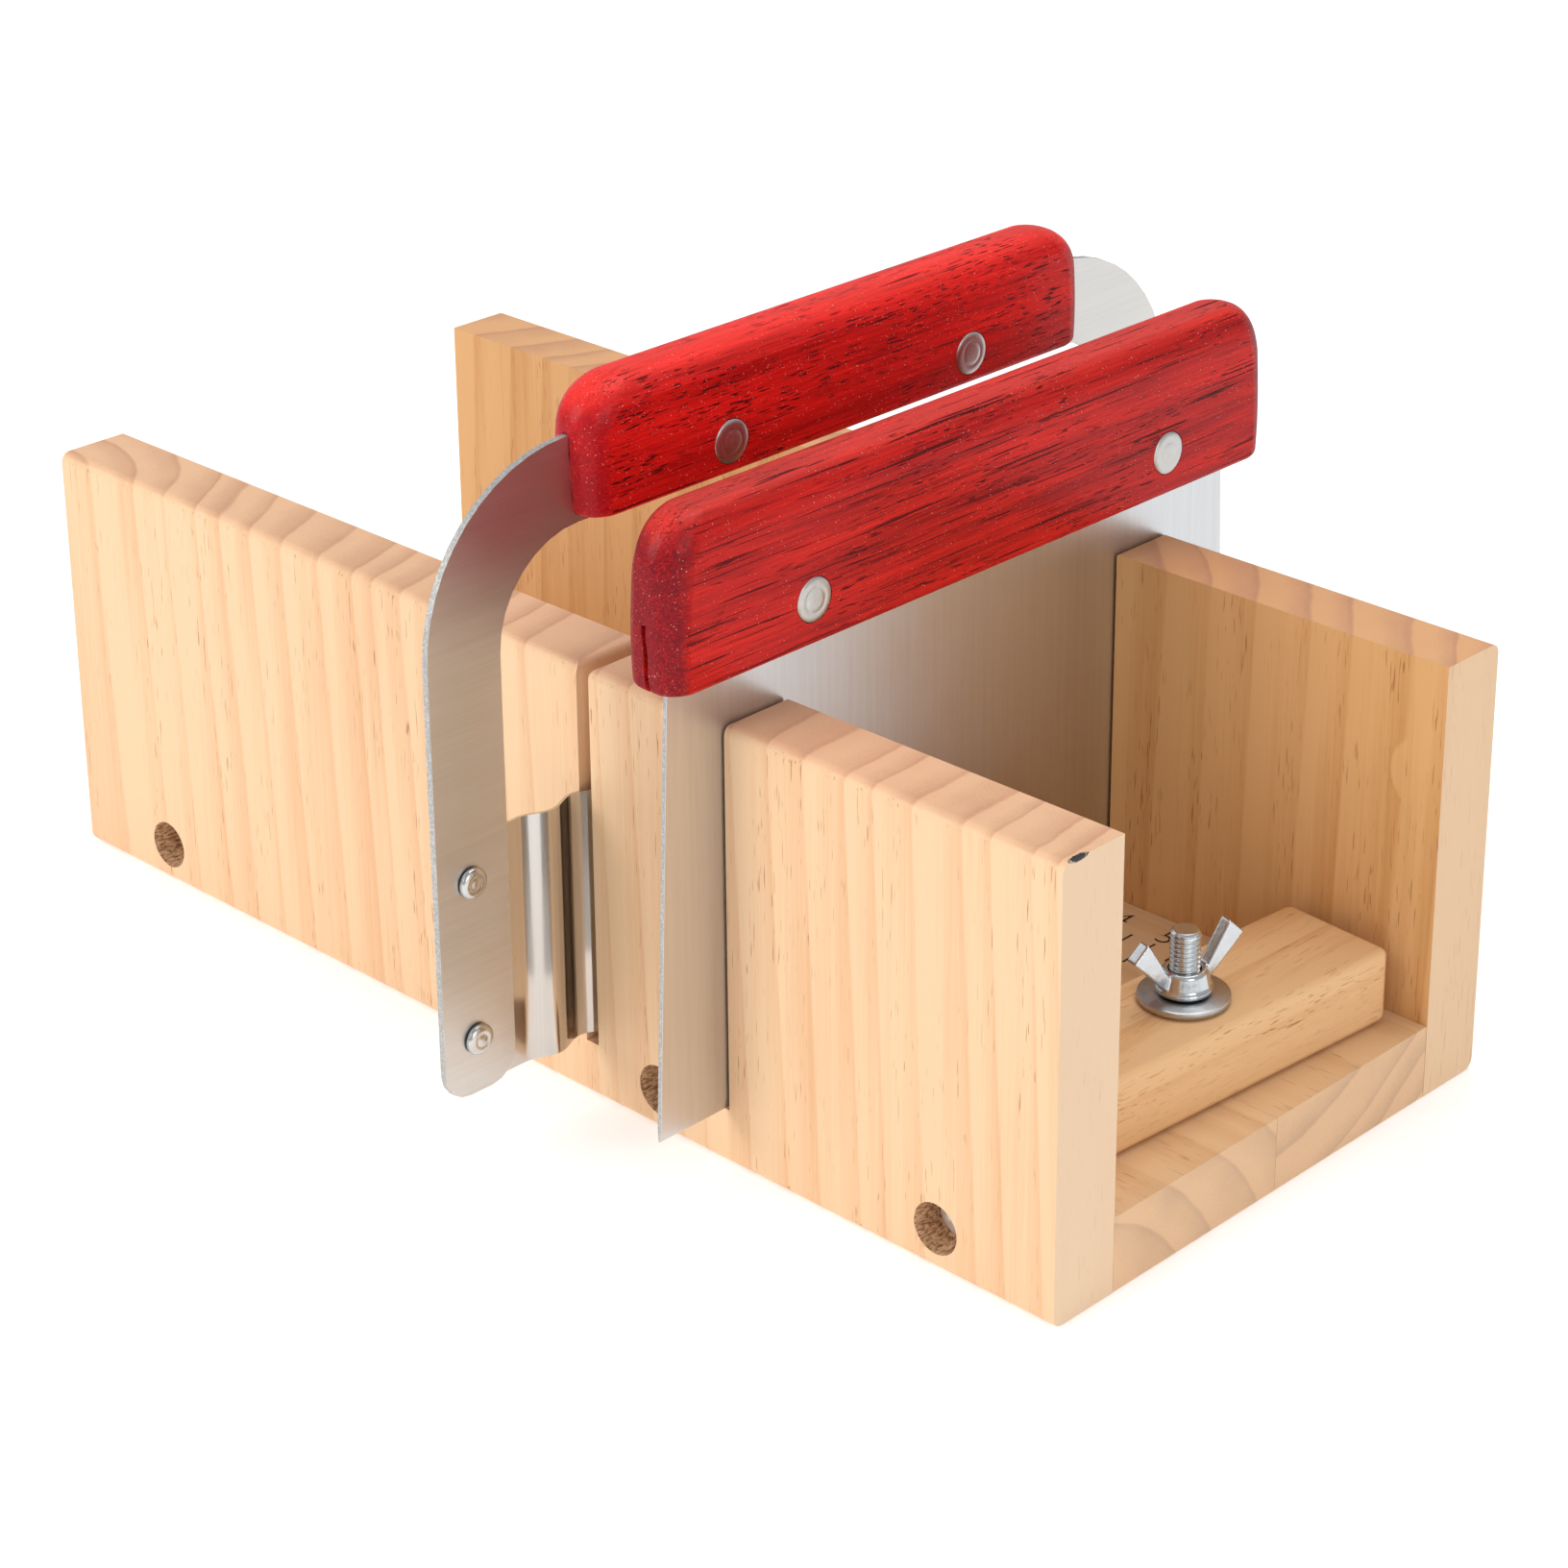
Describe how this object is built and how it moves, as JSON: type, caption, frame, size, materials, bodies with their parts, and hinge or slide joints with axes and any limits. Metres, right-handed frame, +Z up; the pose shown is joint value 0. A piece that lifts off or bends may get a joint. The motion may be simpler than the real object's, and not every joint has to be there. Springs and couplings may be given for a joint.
{
  "type": "loaf cutting box with two hand cutters",
  "caption": "Open wooden box for cutting loaves of soap, with a flat-blade cutter and a wavy-blade cutter standing in saw kerfs, and a stop block clamped along a slot in the floor.",
  "frame": {"origin": "on the ground, under the middle of the whole outline; the box's own middle lies 2 mm towards -Y", "axes": "+X runs along the box towards the stop block's end, +Y across it along both cutters' blades, +Z up"},
  "size_m": [0.235, 0.1744, 0.1248],
  "materials": {
    "pine": "bare sanded pale pine",
    "stop_wood": "bare tan wood, rounded edges",
    "red_wood": "red stain under a thin satin lacquer",
    "brushed_sheet": "fine brushed stainless sheet",
    "polished_sheet": "polished stainless sheet",
    "rivet_metal": "satin aluminium",
    "bright_zinc": "bright zinc plated steel",
    "screw_steel": "dull plated steel"
  },
  "bodies": {
    "box": {"floor_stave_near": "pine", "floor_stave_far": "pine", "near_side_board": "pine", "far_side_board": "pine", "near_screw_rear": "screw_steel", "near_screw_middle": "screw_steel", "near_screw_front": "screw_steel", "far_screw_rear": "screw_steel", "far_screw_middle": "screw_steel", "far_screw_front": "screw_steel"},
    "straight_cutter": {"straight_handle": "red_wood", "straight_blade": "brushed_sheet", "straight_rivet_near": "rivet_metal", "straight_rivet_far": "rivet_metal"},
    "wavy_cutter": {"wavy_handle": "red_wood", "wavy_bow": "brushed_sheet", "wavy_blade": "polished_sheet", "wavy_rivet_near": "rivet_metal", "wavy_rivet_far": "rivet_metal", "blade_rivet_near_low": "rivet_metal", "blade_rivet_near_high": "rivet_metal", "blade_rivet_far_low": "rivet_metal", "blade_rivet_far_high": "rivet_metal"},
    "stop_carriage": {"stop_washer": "bright_zinc"},
    "stop": {"stop_block": "stop_wood"},
    "nut": {"wing_nut": "bright_zinc"},
    "bolt": {"clamp_bolt": "bright_zinc"}
  },
  "joints": [
    {"name": "straight_cutter_lift", "type": "slide", "parent": "box", "child": "straight_cutter", "axis": [0, 0, 1], "range_m": [0, 0.075]},
    {"name": "wavy_cutter_lift", "type": "slide", "parent": "box", "child": "wavy_cutter", "axis": [0, 0, 1], "range_m": [0, 0.075]},
    {"name": "stop_slide", "type": "slide", "parent": "box", "child": "stop_carriage", "axis": [1, 0, 0], "range_m": [-0.0315, 0.003]},
    {"name": "stop_swivel", "type": "hinge", "parent": "stop_carriage", "child": "stop", "pos_m": [0.0982, -0.002, 0.02], "axis": [0, 0, 1], "range_deg": [-3.5, 12]},
    {"name": "nut_turn", "type": "hinge", "parent": "stop_carriage", "child": "nut", "pos_m": [0.0982, -0.002, 0.0286], "axis": [0, 0, 1], "range_deg": [0, 720]},
    {"name": "bolt_drop", "type": "slide", "parent": "stop_carriage", "child": "bolt", "axis": [0, 0, -1], "range_m": [0, 0.0016]}
  ],
  "couplings": [
    {"joint": "nut_turn", "follows": "bolt_drop", "rad_per_m": 7854}
  ]
}
